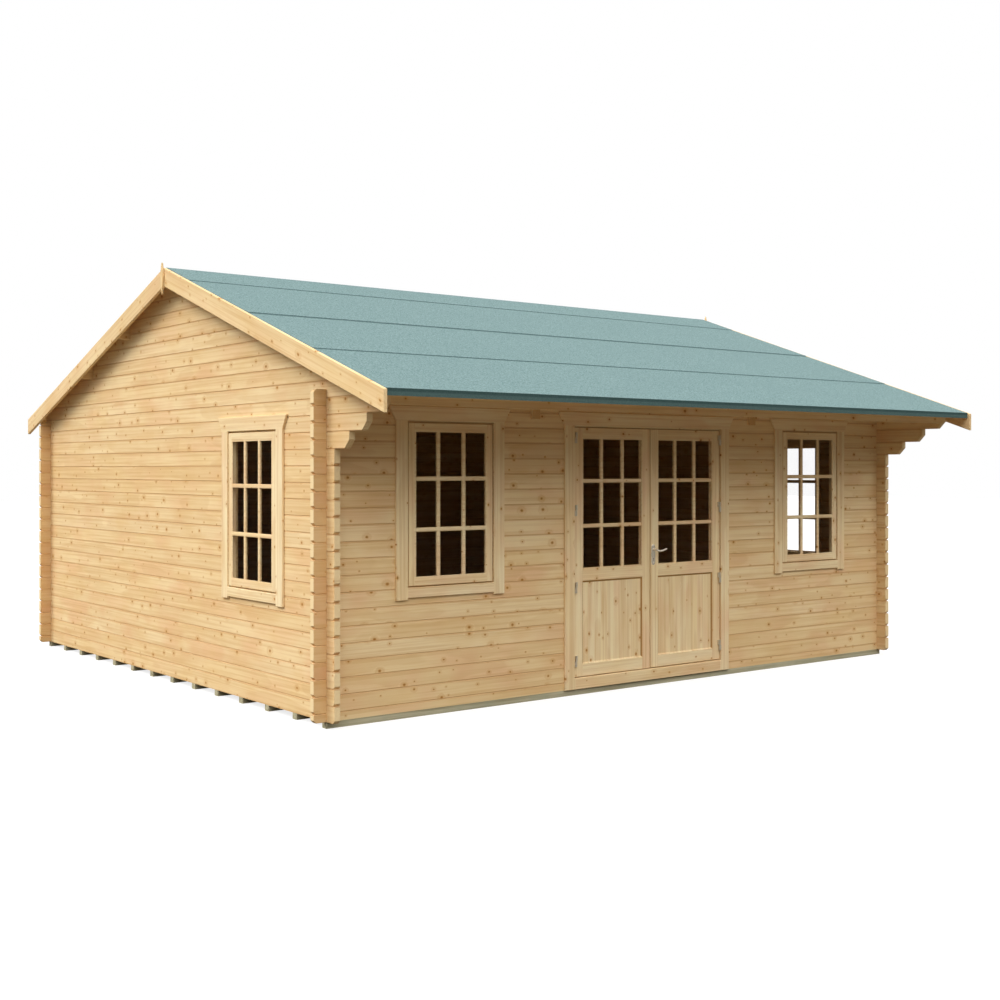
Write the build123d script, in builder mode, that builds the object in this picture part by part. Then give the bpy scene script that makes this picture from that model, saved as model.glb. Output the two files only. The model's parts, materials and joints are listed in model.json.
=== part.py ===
"""Pine log cabin: interlocking square logs, a canopied gable roof, double doors and four windows.

Millimetres, +Z up, the front faces -Y. The origin is on the ground, straight under the ridge.
"""

import os

from build123d import *

# Log walls, measured over the outside faces of the logs
wall_length = 5970
wall_depth = 5340
log_thickness = 45
log_height = 114
log_end = 100
end_chamfer = 20
groove_depth = 4
groove_half = 4
long_wall_top = 2223
bearer_height = 45

# Canopy logs at the front of each gable wall: how far each one steps forward
canopy_first_log = 16
canopy_reach = [287, 500, 711]
canopy_chamfer = 60

# Roof: both slopes are alike, so the ridge stands forward of the middle of the walls
front_to_ridge = 2355
ridge_height = 3347
roof_slope = 0.345
roof_run = 3225
roof_board = 19
felt = 3
felt_drop = 45
felt_laps = [420, 1402, 2342]
verge = 95
bargeboard_thickness = 28
bargeboard_depth = 149
bargeboard_run = 3247
bargeboard_gap = 3
finial_half = 28

# Windows: the sash is what shows between the boards that frame it
sash_width = 735
sash_height = 1142
sash_low = 917
sash_stile = 50
sash_thickness = 40
sash_proud = 12
window_from_corner = 1017.5
side_window_from_front = 1057.5
side_window_drop = 57
frame_width = 30
frame_set_back = 10
trim_thickness = 18
window_trim_width = 98
window_trim_gap = 8.5
trim_top_width = 104
trim_top_gap = 13
trim_flare = 60
trim_bottom_width = 72
trim_tail = 15
glass_thickness = 6

# Doors
leaf_width = 799
leaf_height = 1915
leaf_low = 139
leaf_thickness = 40
leaf_proud = 4
leaf_gap = 7
swing_gap = 5.5
stile = 83
top_rail = 79
middle_rail_low = 872
middle_rail_high = 963
bottom_rail_high = 231
panel_thickness = 18
jamb = 40
jamb_depth = 57
stop_reach = 12
stop_thickness = 14
door_trim_reveal = 2
door_trim_width = 98
sill_top = 132

# Hinges and handle
hinge_heights = [260, 825, 1417, 1975]
hinge_length = 84
hinge_radius = 8
hinge_gap = 1
hinge_proud = 12
hinge_inset = 7.5
hinge_arm = 6
jamb_arm_thickness = 8
plate_width = 46
plate_height = 164
plate_low = 963
plate_thickness = 4
handle_inset = 32
lever_height = 1087
lever_reach = 104
lever_sag = 9
lever_stand_off = 48
lever_radius = 8
lever_bend = 14
spindle_gap = 0.3

# Timbers that carry the floor and the roof
bearer_width = 58
bearer_count = 14
floor_thickness = 19
purlin_width = 45
purlin_depth = 130
ridge_purlin_depth = 145
purlin_runs = [990, 1850]
beam_side = 75
beam_low = 2107
beam_out = 25
beam_from_middle = 1195
eaves_beam_low = 2143
eaves_board = 20

# Places worked out from the driving dimensions
half_length = wall_length / 2
front = -front_to_ridge
back = front + wall_depth
middle_y = (front + back) / 2
base = bearer_height
inner_x = half_length - log_thickness
inner_front = front + log_thickness
inner_back = back - log_thickness
verge_x = half_length + verge
slope_stretch = (1 + roof_slope**2) ** 0.5
felt_rise = felt * slope_stretch
board_rise = roof_board * slope_stretch
leaf_reach = leaf_gap / 2 + leaf_width
jamb_inner = leaf_reach + swing_gap
opening_half = jamb_inner + jamb
leaf_top = leaf_low + leaf_height
head_low = leaf_top + swing_gap
opening_top = head_low + jamb
leaf_face = front - leaf_proud
glass_low = middle_rail_high
glass_high = leaf_top - top_rail
sash_top = sash_low + sash_height

os.makedirs("parts", exist_ok=True)


def felt_top(y):
    """Height of the felt's upper face under the ridge strip, at a distance along Y."""
    return ridge_height - roof_slope * abs(y)


def board_top(y):
    """Height of the roof boards' upper face."""
    return felt_top(y) - felt_rise


def board_under(y):
    """Height of the roof boards' underside."""
    return board_top(y) - board_rise


def under_bargeboard(y):
    """Height just clear of the bargeboards' lower edge."""
    return felt_top(y) - bargeboard_depth - bargeboard_gap


def save(piece, name):
    """Label a finished piece and write it under its node's name."""
    piece.part.label = name
    export_step(piece.part, f"parts/{name}.step")


def outline(points):
    """A flat face in the current sketch, from its corner points."""
    Polygon(*points, align=None)


def joints_between(first, low, high):
    """Heights of the joints between logs, from the first one up, inside two limits."""
    heights = []
    height = base + first
    while height < high - groove_half:
        if height > low + groove_half:
            heights.append(height)
        height += log_height
    return heights


def log_section(outside, inside, outside_top, inside_top, first):
    """Upright section of a log wall: flat faces with a shallow V along every joint."""
    inward = 1 if inside > outside else -1
    points = [(outside, base)]
    for z in joints_between(first, base, outside_top):
        points += [
            (outside, z - groove_half),
            (outside + inward * groove_depth, z),
            (outside, z + groove_half),
        ]
    points += [(outside, outside_top), (inside, inside_top)]
    for z in reversed(joints_between(first, base, inside_top)):
        points += [
            (inside, z + groove_half),
            (inside - inward * groove_depth, z),
            (inside, z - groove_half),
        ]
    points.append((inside, base))
    return points


def log_end_points(start, end, low, joints, top):
    """Corner points up a stack of log ends, each cut back at its lower corner.

    start is where the ends leave the wall and end is how far they reach.
    """
    back_in = end_chamfer if start > end else -end_chamfer
    points = []
    for bottom, upper in zip([low] + joints, joints + [top]):
        points += [(end + back_in, bottom), (end, bottom + end_chamfer), (end, upper)]
    return points


# Treated bearers under the whole floor, evenly spaced from front to back
bearer_pitch = (wall_depth - bearer_width) / (bearer_count - 1)
with BuildPart() as floor_bearers:
    with BuildSketch(Plane.XY.offset(0)):
        with Locations((0, middle_y)):
            with GridLocations(0, bearer_pitch, 1, bearer_count):
                Rectangle(wall_length, bearer_width)
    extrude(amount=bearer_height)
save(floor_bearers, "floor_bearers")

# Floor inside the walls
with BuildPart() as floor_boards:
    with BuildSketch(Plane.XY.offset(base)):
        with Locations((0, middle_y)):
            Rectangle(2 * inner_x, inner_back - inner_front)
    extrude(amount=floor_thickness)
save(floor_boards, "floor_boards")


# Long walls: the half log at the bottom staggers their joints against the gable walls
window_x = half_length - window_from_corner
hole_width = sash_width + 2 * frame_width
hole_height = sash_height + 2 * frame_width
hole_middle = sash_low + sash_height / 2
long_first = log_height / 2
front_section = log_section(
    front, inner_front, board_under(front), board_under(inner_front), long_first
)
back_section = log_section(
    back, inner_back, board_under(back), board_under(inner_back), long_first
)


def long_wall(section, x_low, x_high, z_low, window):
    """A stretch of a long wall between two ends, with a window hole and the beams' notches."""
    middle = (x_low + x_high) / 2
    high = ridge_height
    with BuildPart() as wall:
        with BuildSketch(Plane.YZ.offset(x_low)):
            outline(section)
        extrude(amount=x_high - x_low)
        with BuildSketch(Plane.XZ):
            with Locations((middle, (z_low + high) / 2)):
                Rectangle(x_high - x_low, high - z_low)
            for side in (-1, 1):
                if window:
                    with Locations((side * window_x, hole_middle)):
                        Rectangle(hole_width, hole_height, mode=Mode.SUBTRACT)
                with Locations((side * beam_from_middle, beam_low + beam_side / 2)):
                    Rectangle(beam_side, beam_side, mode=Mode.SUBTRACT)
        extrude(amount=wall_depth, both=True, mode=Mode.INTERSECT)
    return wall


save(long_wall(front_section, -inner_x, -opening_half, base, True), "front_wall_left")
save(long_wall(front_section, opening_half, inner_x, base, True), "front_wall_right")
save(long_wall(front_section, -opening_half, opening_half, opening_top, False), "front_wall_over_door")
save(long_wall(back_section, -inner_x, inner_x, base, False), "back_wall")


def long_wall_ends(section):
    """The ends of a long wall's logs, which stand out past both gable walls."""
    top = base + long_wall_top
    joints = joints_between(long_first, base, top)
    with BuildPart() as ends:
        with BuildSketch(Plane.XZ):
            for side in (-1, 1):
                inside = side * half_length
                outside = side * (half_length + log_end)
                back_in = -side * end_chamfer
                points = log_end_points(inside, outside, base, joints, top)
                points[-1] = (outside, top - end_chamfer)
                outline([(inside, base)] + points + [(outside + back_in, top), (inside, top)])
        extrude(amount=wall_depth, both=True)
        with BuildSketch(Plane.YZ):
            outline(section)
        extrude(amount=wall_length, both=True, mode=Mode.INTERSECT)
    return ends


# The bargeboards pass over the back ends, which stop just under them
end_top = base + long_wall_top
front_ends = log_section(front, inner_front, end_top, end_top, long_first)
back_ends = log_section(
    back, inner_back, under_bargeboard(back), under_bargeboard(inner_back), long_first
)
save(long_wall_ends(front_ends), "front_log_ends")
save(long_wall_ends(back_ends), "back_log_ends")


# Gable walls: whole logs from the bottom, the roof's slope on top, canopy steps at the front
def gable_outline():
    """Side elevation of a gable wall, from the back foot round to the front one."""
    far = back + log_end
    near = front - log_end
    far_joints = joints_between(log_height, base, board_under(far))
    points = [(0, base)]
    points += log_end_points(back, far, base, far_joints, board_under(far))
    points.append((0, board_under(0)))
    canopy_low = base + canopy_first_log * log_height
    near_joints = joints_between(log_height, base, canopy_low)
    climb = log_end_points(front, near, base, near_joints, canopy_low)
    steps = len(canopy_reach)
    for step, reach in enumerate(canopy_reach):
        bottom = canopy_low + step * log_height
        tip = front - reach
        upper = bottom + log_height if step < steps - 1 else board_under(tip)
        climb += [(tip + canopy_chamfer, bottom), (tip, bottom + canopy_chamfer), (tip, upper)]
    return points + climb[::-1]


def purlin_section(y, depth):
    """Section of a purlin whose top lies against the roof boards."""
    near = y - purlin_width / 2
    far = y + purlin_width / 2
    low = board_under(y) - depth
    points = [(near, low), (far, low), (far, board_under(far))]
    if near < 0 < far:
        points.append((0, board_under(0)))
    points.append((near, board_under(near)))
    return points


purlin_rows = [side * run for run in purlin_runs for side in (-1, 1)]
side_window_y = front + side_window_from_front


def gable_wall(side):
    """One gable wall with its window hole and the notches that carry the purlins."""
    outside = side * half_length
    inside = side * inner_x
    ridge = board_under(0)
    with BuildPart() as wall:
        with BuildSketch(Plane.YZ.offset(min(outside, inside))):
            outline(gable_outline())
            with Locations((side_window_y, hole_middle - side_window_drop)):
                Rectangle(hole_width, hole_height, mode=Mode.SUBTRACT)
        extrude(amount=log_thickness)
        with BuildSketch(Plane.XZ):
            outline(log_section(outside, inside, ridge, ridge, log_height))
        extrude(amount=wall_depth, both=True, mode=Mode.INTERSECT)
        with BuildSketch(Plane.YZ):
            outline(purlin_section(0, ridge_purlin_depth))
        extrude(amount=wall_length, both=True, mode=Mode.SUBTRACT)
        for y in purlin_rows:
            with BuildSketch(Plane.YZ):
                outline(purlin_section(y, purlin_depth))
            extrude(amount=wall_length, both=True, mode=Mode.SUBTRACT)
    return wall


save(gable_wall(-1), "left_gable_wall")
save(gable_wall(1), "right_gable_wall")

# Purlins run past both gables to the bargeboards
with BuildPart() as ridge_purlin:
    with BuildSketch(Plane.YZ):
        outline(purlin_section(0, ridge_purlin_depth))
    extrude(amount=verge_x, both=True)
save(ridge_purlin, "ridge_purlin")

with BuildPart() as roof_purlins:
    with BuildSketch(Plane.YZ):
        for y in purlin_rows:
            outline(purlin_section(y, purlin_depth))
    extrude(amount=verge_x, both=True)
save(roof_purlins, "roof_purlins")

# Beam under the canopy's edge, between the two gable walls
canopy_tip = front - canopy_reach[-1]
with BuildPart() as canopy_beam:
    with BuildSketch(Plane.YZ):
        outline(
            [
                (canopy_tip, eaves_beam_low),
                (canopy_tip + purlin_width, eaves_beam_low),
                (canopy_tip + purlin_width, board_under(canopy_tip + purlin_width)),
                (canopy_tip, board_under(canopy_tip)),
            ]
        )
    extrude(amount=inner_x, both=True)
save(canopy_beam, "canopy_beam")

# Tie beams from front to back, whose ends show on the front wall
with BuildPart() as tie_beams:
    with BuildSketch(Plane.XY.offset(beam_low)):
        with Locations((-beam_from_middle, middle_y), (beam_from_middle, middle_y)):
            Rectangle(beam_side, wall_depth + 2 * beam_out)
    extrude(amount=beam_side)
save(tie_beams, "tie_beams")


# Roof: boards, felt in overlapping strips, and the strip over the ridge
def board_section(side):
    """Section of the boards on one slope; side is -1 at the front and 1 at the back."""
    eave = side * (roof_run - felt)
    return [
        (0, board_under(0)),
        (eave, board_under(eave)),
        (eave, board_top(eave)),
        (0, board_top(0)),
    ]


def felt_section(side):
    """Felt on one slope: each strip laps over the one below it and the last turns down."""
    eave = side * (roof_run - felt)
    edge = side * roof_run
    drop = board_top(eave) - felt_drop
    points = [(0, board_top(0)), (eave, board_top(eave)), (eave, drop), (edge, drop)]
    points.append((edge, felt_top(edge)))
    for lap in reversed(felt_laps[1:]):
        y = side * lap
        points += [(y, felt_top(y)), (y, felt_top(y) + felt_rise)]
    cap_edge = side * felt_laps[0]
    return points + [(cap_edge, felt_top(cap_edge)), (0, felt_top(0))]


for side, place in ((-1, "front"), (1, "back")):
    with BuildPart() as boards:
        with BuildSketch(Plane.YZ):
            outline(board_section(side))
        extrude(amount=verge_x, both=True)
    save(boards, f"roof_boards_{place}")

    with BuildPart() as felt_slope:
        with BuildSketch(Plane.YZ):
            outline(felt_section(side))
        extrude(amount=verge_x, both=True)
    save(felt_slope, f"roof_felt_{place}")

cap_reach = felt_laps[0]
with BuildPart() as ridge_felt:
    with BuildSketch(Plane.YZ):
        outline(
            [
                (-cap_reach, felt_top(cap_reach)),
                (0, felt_top(0)),
                (cap_reach, felt_top(cap_reach)),
                (cap_reach, felt_top(cap_reach) + felt_rise),
                (0, felt_top(0) + felt_rise),
                (-cap_reach, felt_top(cap_reach) + felt_rise),
            ]
        )
    extrude(amount=verge_x, both=True)
save(ridge_felt, "ridge_felt")

# Battens under the eaves that the felt is turned down over
with BuildPart() as eaves_battens:
    with BuildSketch(Plane.YZ):
        for side in (-1, 1):
            edge = side * (roof_run - felt)
            inner = edge - side * eaves_board
            bottom = board_top(edge) - felt_drop
            outline(
                [(edge, bottom), (edge, board_under(edge)), (inner, board_under(inner)), (inner, bottom)]
            )
    extrude(amount=verge_x, both=True)
save(eaves_battens, "eaves_battens")

# Bargeboards up both slopes at each gable, cut plumb at both ends
for side, place in ((-1, "front"), (1, "back")):
    tip = side * bargeboard_run
    tip_top = felt_top(tip)
    apex = felt_top(0)
    with BuildPart() as bargeboards:
        for face in (-verge_x - bargeboard_thickness, verge_x):
            with BuildSketch(Plane.YZ.offset(face)):
                outline(
                    [
                        (0, apex),
                        (tip, tip_top),
                        (tip, tip_top - bargeboard_depth),
                        (0, apex - bargeboard_depth),
                    ]
                )
            extrude(amount=bargeboard_thickness)
    save(bargeboards, f"{place}_bargeboards")

# A pointed board over the joint of the bargeboards at each end
finial_high = ridge_height + 41
finial_low = ridge_height - 219
finial_shoulder = ridge_height - 74
with BuildPart() as finials:
    for x_side in (-1, 1):
        outer_face = verge_x + bargeboard_thickness
        face = outer_face if x_side > 0 else -outer_face - trim_thickness
        with BuildSketch(Plane.YZ.offset(face)):
            outline(
                [
                    (0, finial_low),
                    (finial_half, finial_shoulder),
                    (0, finial_high),
                    (-finial_half, finial_shoulder),
                ]
            )
        extrude(amount=trim_thickness)
save(finials, "finials")


# Windows: a frame in the wall, a sash in the frame, glass in the sash, boards round the outside
def window_plane(place, out):
    """Plane through a window, across the wall; out is the distance outside the wall's face."""
    if place.startswith("front"):
        x = -window_x if place == "front_left" else window_x
        return Plane(origin=(x, front - out, hole_middle), x_dir=(1, 0, 0), z_dir=(0, -1, 0))
    z = hole_middle - side_window_drop
    if place == "left_side":
        origin = (-half_length - out, side_window_y, z)
        return Plane(origin=origin, x_dir=(0, -1, 0), z_dir=(-1, 0, 0))
    origin = (half_length + out, side_window_y, z)
    return Plane(origin=origin, x_dir=(0, 1, 0), z_dir=(1, 0, 0))


windows = ["front_left", "front_right", "left_side", "right_side"]
window_back = log_thickness + 10
sash_back = sash_thickness - sash_proud
rebate = 20
half_sash = sash_height / 2
side_inner = sash_width / 2 + window_trim_gap
side_outer = side_inner + window_trim_width
trim_low = -half_sash - window_trim_gap - trim_bottom_width
trim_high = half_sash + trim_top_gap

with BuildPart() as window_frames:
    for place in windows:
        with BuildSketch(window_plane(place, -window_back)):
            Rectangle(hole_width, hole_height)
            Rectangle(sash_width - 2 * rebate, sash_height - 2 * rebate, mode=Mode.SUBTRACT)
        extrude(amount=window_back - sash_back)
        with BuildSketch(window_plane(place, -sash_back)):
            Rectangle(hole_width, hole_height)
            Rectangle(sash_width, sash_height, mode=Mode.SUBTRACT)
        extrude(amount=sash_back - frame_set_back)
save(window_frames, "window_frames")

with BuildPart() as window_glass:
    for place in windows:
        with BuildSketch(window_plane(place, sash_proud - sash_thickness / 2)):
            Rectangle(sash_width - 2 * sash_stile, sash_height - 2 * sash_stile)
        extrude(amount=glass_thickness / 2, both=True)
save(window_glass, "window_glass")

for place in windows:
    with BuildPart() as sash:
        with BuildSketch(window_plane(place, -sash_back)):
            Rectangle(sash_width, sash_height)
            Rectangle(sash_width - 2 * sash_stile, sash_height - 2 * sash_stile, mode=Mode.SUBTRACT)
        extrude(amount=sash_thickness)
    save(sash, f"{place}_window")

    with BuildPart() as trim:
        with BuildSketch(window_plane(place, 0)):
            outline(
                [
                    (-side_outer, trim_high),
                    (side_outer, trim_high),
                    (side_outer + trim_flare, trim_high + trim_top_width),
                    (-side_outer - trim_flare, trim_high + trim_top_width),
                ]
            )
            for side in (-1, 1):
                low = trim_low - trim_tail
                with Locations((side * (side_inner + side_outer) / 2, (low + trim_high) / 2)):
                    Rectangle(window_trim_width, trim_high - low)
            with Locations((0, trim_low + trim_bottom_width / 2)):
                Rectangle(2 * side_inner, trim_bottom_width)
        extrude(amount=trim_thickness)
    save(trim, f"{place}_window_trim")

# Door frame: two jambs and a head, with a stop all round behind the leaves
jamb_back = front + jamb_depth
stop_front = jamb_back - stop_thickness
with BuildPart() as door_frame:
    with BuildSketch(Plane.XZ.offset(-front)):
        with Locations((0, (sill_top + opening_top) / 2)):
            Rectangle(2 * opening_half, opening_top - sill_top)
        with Locations((0, (sill_top + head_low) / 2)):
            Rectangle(2 * jamb_inner, head_low - sill_top, mode=Mode.SUBTRACT)
    extrude(amount=-jamb_depth)
    with BuildSketch(Plane.XZ.offset(-stop_front)):
        with Locations((0, (sill_top + head_low) / 2)):
            Rectangle(2 * jamb_inner, head_low - sill_top)
        with Locations((0, (sill_top + head_low - stop_reach) / 2)):
            Rectangle(
                2 * (jamb_inner - stop_reach), head_low - stop_reach - sill_top, mode=Mode.SUBTRACT
            )
    extrude(amount=-stop_thickness)
save(door_frame, "door_frame")

# Sill under the leaves, between the two halves of the front wall
with BuildPart() as door_sill:
    with BuildSketch(Plane.XZ.offset(-front)):
        with Locations((0, (base + sill_top) / 2)):
            Rectangle(2 * opening_half, sill_top - base)
    extrude(amount=-log_thickness)
save(door_sill, "door_sill")

# Boards round the doorway on the outside
door_trim_inner = jamb_inner + door_trim_reveal
door_trim_outer = door_trim_inner + door_trim_width
door_trim_high = leaf_top + trim_top_gap
with BuildPart() as door_trim:
    with BuildSketch(Plane.XZ.offset(-front)):
        outline(
            [
                (-door_trim_outer, door_trim_high),
                (door_trim_outer, door_trim_high),
                (door_trim_outer + trim_flare, door_trim_high + trim_top_width),
                (-door_trim_outer - trim_flare, door_trim_high + trim_top_width),
            ]
        )
        for side in (-1, 1):
            middle = side * (door_trim_inner + door_trim_outer) / 2
            with Locations((middle, (base + door_trim_high) / 2)):
                Rectangle(door_trim_width, door_trim_high - base)
        with Locations((0, (base + sill_top) / 2)):
            Rectangle(2 * door_trim_inner, sill_top - base)
    extrude(amount=trim_thickness)
save(door_trim, "door_trim")

# Door leaves, each with a glazed upper part and a boarded panel below
glass_middle = (glass_low + glass_high) / 2
panel_low = bottom_rail_high
panel_high = middle_rail_low
glazed_width = leaf_width - 2 * stile
panel_face = leaf_face + (leaf_thickness - panel_thickness) / 2
for side, place in ((-1, "left"), (1, "right")):
    middle = side * (leaf_gap + leaf_width) / 2
    with BuildPart() as leaf:
        with BuildSketch(Plane.XZ.offset(-leaf_face)):
            with Locations((middle, (leaf_low + leaf_top) / 2)):
                Rectangle(leaf_width, leaf_height)
            with Locations((middle, glass_middle)):
                Rectangle(glazed_width, glass_high - glass_low, mode=Mode.SUBTRACT)
            with Locations((middle, (panel_low + panel_high) / 2)):
                Rectangle(glazed_width, panel_high - panel_low, mode=Mode.SUBTRACT)
        extrude(amount=-leaf_thickness)
        with BuildSketch(Plane.XZ.offset(-panel_face)):
            with Locations((middle, (panel_low + panel_high) / 2)):
                Rectangle(glazed_width, panel_high - panel_low)
        extrude(amount=-panel_thickness)
    save(leaf, f"{place}_door")

    with BuildPart() as pane:
        with BuildSketch(Plane.XZ.offset(-leaf_face - leaf_thickness / 2)):
            with Locations((middle, glass_middle)):
                Rectangle(glazed_width, glass_high - glass_low)
        extrude(amount=glass_thickness / 2, both=True)
    save(pane, f"{place}_door_glass")

# Hinges: the upper half of each barrel turns with the leaf, the lower half is on the jamb
hinge_x = leaf_reach - hinge_inset
hinge_y = leaf_face - hinge_proud


def hinge_halves(sides, low, high, reach, near, far):
    """One half of every barrel, with the short arm that fixes it to the timber beside it.

    reach is how far the arm goes from the barrel's middle, outwards where it is more than 0;
    near and far are its front and back faces, measured from the barrel's middle.
    """
    with BuildPart() as halves:
        for side in sides:
            barrel = side * hinge_x
            for z in hinge_heights:
                with BuildSketch(Plane.XY.offset(z + low)):
                    with Locations((barrel, hinge_y)):
                        Circle(hinge_radius)
                    with Locations((barrel + side * reach / 2, hinge_y + (near + far) / 2)):
                        Rectangle(abs(reach), far - near)
                extrude(amount=high - low)
    return halves


half_high = hinge_length / 2
half_gap = hinge_gap / 2
leaf_arm = -hinge_radius - hinge_arm
jamb_arm = door_trim_inner - hinge_x
arm_half = jamb_arm_thickness / 2
save(hinge_halves([-1], half_gap, half_high, leaf_arm, 0, hinge_proud), "left_door_hinges")
save(hinge_halves([1], half_gap, half_high, leaf_arm, 0, hinge_proud), "right_door_hinges")
save(hinge_halves([-1, 1], -half_high, -half_gap, jamb_arm, -arm_half, arm_half), "jamb_hinges")

# Handle on the right leaf: a long plate and a lever that turns on it
handle_x = leaf_gap / 2 + handle_inset
with BuildPart() as door_handle_plate:
    with BuildSketch(Plane.XZ.offset(-leaf_face)):
        with Locations((handle_x, plate_low + plate_height / 2)):
            SlotOverall(plate_height, plate_width, rotation=90)
    extrude(amount=plate_thickness)
save(door_handle_plate, "door_handle_plate")

spindle_face = leaf_face - plate_thickness - spindle_gap
lever_plane_y = leaf_face - lever_stand_off
with BuildPart() as door_lever:
    with BuildLine() as bend:
        FilletPolyline(
            (handle_x, spindle_face, lever_height),
            (handle_x, lever_plane_y, lever_height),
            (handle_x + lever_reach * 0.35, lever_plane_y, lever_height),
            (handle_x + lever_reach * 0.7, lever_plane_y, lever_height - lever_sag),
            (handle_x + lever_reach, lever_plane_y, lever_height),
            radius=lever_bend,
        )
    with BuildSketch(Plane.XZ.offset(-spindle_face)):
        with Locations((handle_x, lever_height)):
            Circle(lever_radius)
    sweep()
save(door_lever, "door_lever")
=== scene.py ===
import json
import math

import bmesh
import bpy
import numpy as np
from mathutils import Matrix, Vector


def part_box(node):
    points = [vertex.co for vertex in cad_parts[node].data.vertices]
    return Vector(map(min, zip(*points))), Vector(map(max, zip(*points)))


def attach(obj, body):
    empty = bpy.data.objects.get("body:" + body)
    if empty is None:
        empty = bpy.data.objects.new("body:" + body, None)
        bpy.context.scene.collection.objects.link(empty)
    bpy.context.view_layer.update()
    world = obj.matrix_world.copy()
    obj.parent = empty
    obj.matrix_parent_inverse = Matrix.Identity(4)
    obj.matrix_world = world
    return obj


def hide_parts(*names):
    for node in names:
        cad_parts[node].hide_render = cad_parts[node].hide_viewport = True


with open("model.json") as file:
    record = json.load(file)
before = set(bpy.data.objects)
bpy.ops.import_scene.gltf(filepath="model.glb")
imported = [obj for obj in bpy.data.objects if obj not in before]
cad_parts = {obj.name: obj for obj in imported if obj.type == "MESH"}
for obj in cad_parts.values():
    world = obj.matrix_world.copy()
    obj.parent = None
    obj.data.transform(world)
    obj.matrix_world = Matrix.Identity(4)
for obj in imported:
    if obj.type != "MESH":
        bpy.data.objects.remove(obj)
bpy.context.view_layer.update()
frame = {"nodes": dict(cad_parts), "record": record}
print("frame loaded:", len(frame["nodes"]), "nodes")

bodyOf = {node: body for body, nodes in frame["record"]["behaviour"]["bodies"].items() for node in nodes}


def cornersOf(node):
    low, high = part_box(node)
    return np.array(low), np.array(high)


def colour(text):
    # Linear colour from six hexadecimal digits, by the usual display curve.
    parts = [int(text[i:i + 2], 16) / 255 for i in (1, 3, 5)]
    return tuple(c / 12.92 if c <= 0.04045 else ((c + 0.055) / 1.055) ** 2.4 for c in parts) + (1.0,)


class Socket:
    # Wraps one output of a node, so that shader maths reads as plain expressions.
    def __init__(self, shader, output):
        self.shader = shader
        self.output = output

    def maths(self, operation, *others):
        values = dict(enumerate((self,) + others))
        return self.shader.node("ShaderNodeMath", {"operation": operation}, values)

    def reflected(self, operation, other):
        return self.shader.node("ShaderNodeMath", {"operation": operation}, {0: other, 1: self})

    def __add__(self, other):
        return self.maths("ADD", other)

    def __sub__(self, other):
        return self.maths("SUBTRACT", other)

    def __mul__(self, other):
        return self.maths("MULTIPLY", other)

    def __truediv__(self, other):
        return self.maths("DIVIDE", other)

    def __gt__(self, other):
        return self.maths("GREATER_THAN", other)

    def __lt__(self, other):
        return self.maths("LESS_THAN", other)

    def __radd__(self, other):
        return self.reflected("ADD", other)

    def __rsub__(self, other):
        return self.reflected("SUBTRACT", other)

    def __abs__(self):
        return self.maths("ABSOLUTE")

    def floor(self):
        return self.maths("FLOOR")

    def smooth(self, low, high):
        # 0 at low and 1 at high, with a soft step between them.
        settings = {"interpolation_type": "SMOOTHSTEP"}
        values = {"Value": self, "From Min": low, "From Max": high}
        return self.shader.node("ShaderNodeMapRange", settings, values)

    def towards(self, other, share):
        return self + (other - self) * share

    def sibling(self, name):
        return Socket(self.shader, self.output.node.outputs[name])


class Shader:
    # The node tree of a material or a world.
    def __init__(self, owner):
        owner.use_nodes = True
        self.owner = owner
        self.tree = owner.node_tree
        self.tree.nodes.clear()

    def node(self, kind, settings=None, sockets=None, output=0):
        made = self.tree.nodes.new(kind)
        for key, value in (settings or {}).items():
            setattr(made, key, value)
        for key, value in (sockets or {}).items():
            if isinstance(value, Socket):
                self.tree.links.new(value.output, made.inputs[key])
            else:
                made.inputs[key].default_value = value
        return Socket(self, made.outputs[output])

    def place(self):
        vector = self.node("ShaderNodeTexCoord", output="Object")
        x = self.node("ShaderNodeSeparateXYZ", sockets={0: vector})
        return x, x.sibling("Y"), x.sibling("Z")

    def vector(self, x, y, z=0.0):
        return self.node("ShaderNodeCombineXYZ", sockets={"X": x, "Y": y, "Z": z})

    def noise(self, vector, scale=1.0, detail=3.0, roughness=0.55):
        sockets = {"Vector": vector, "Scale": scale, "Detail": detail, "Roughness": roughness}
        return self.node("ShaderNodeTexNoise", sockets=sockets)

    def mix(self, share, first, second):
        return self.node("ShaderNodeMix", {"data_type": "RGBA"}, {0: share, 6: first, 7: second}, output=2)

    def bump(self, height, strength, distance):
        sockets = {"Strength": strength, "Distance": distance, "Height": height}
        return self.node("ShaderNodeBump", sockets=sockets)

    def finish(self, **sockets):
        # Underscores in a name stand for the spaces of the shader's own socket names.
        named = {key.replace("_", " "): value for key, value in sockets.items()}
        surface = self.node("ShaderNodeBsdfPrincipled", sockets=named)
        result = self.tree.nodes.new("ShaderNodeOutputMaterial")
        self.tree.links.new(surface.output, result.inputs["Surface"])
        return self.owner


def newShader(name):
    return Shader(bpy.data.materials.new(name))


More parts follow.
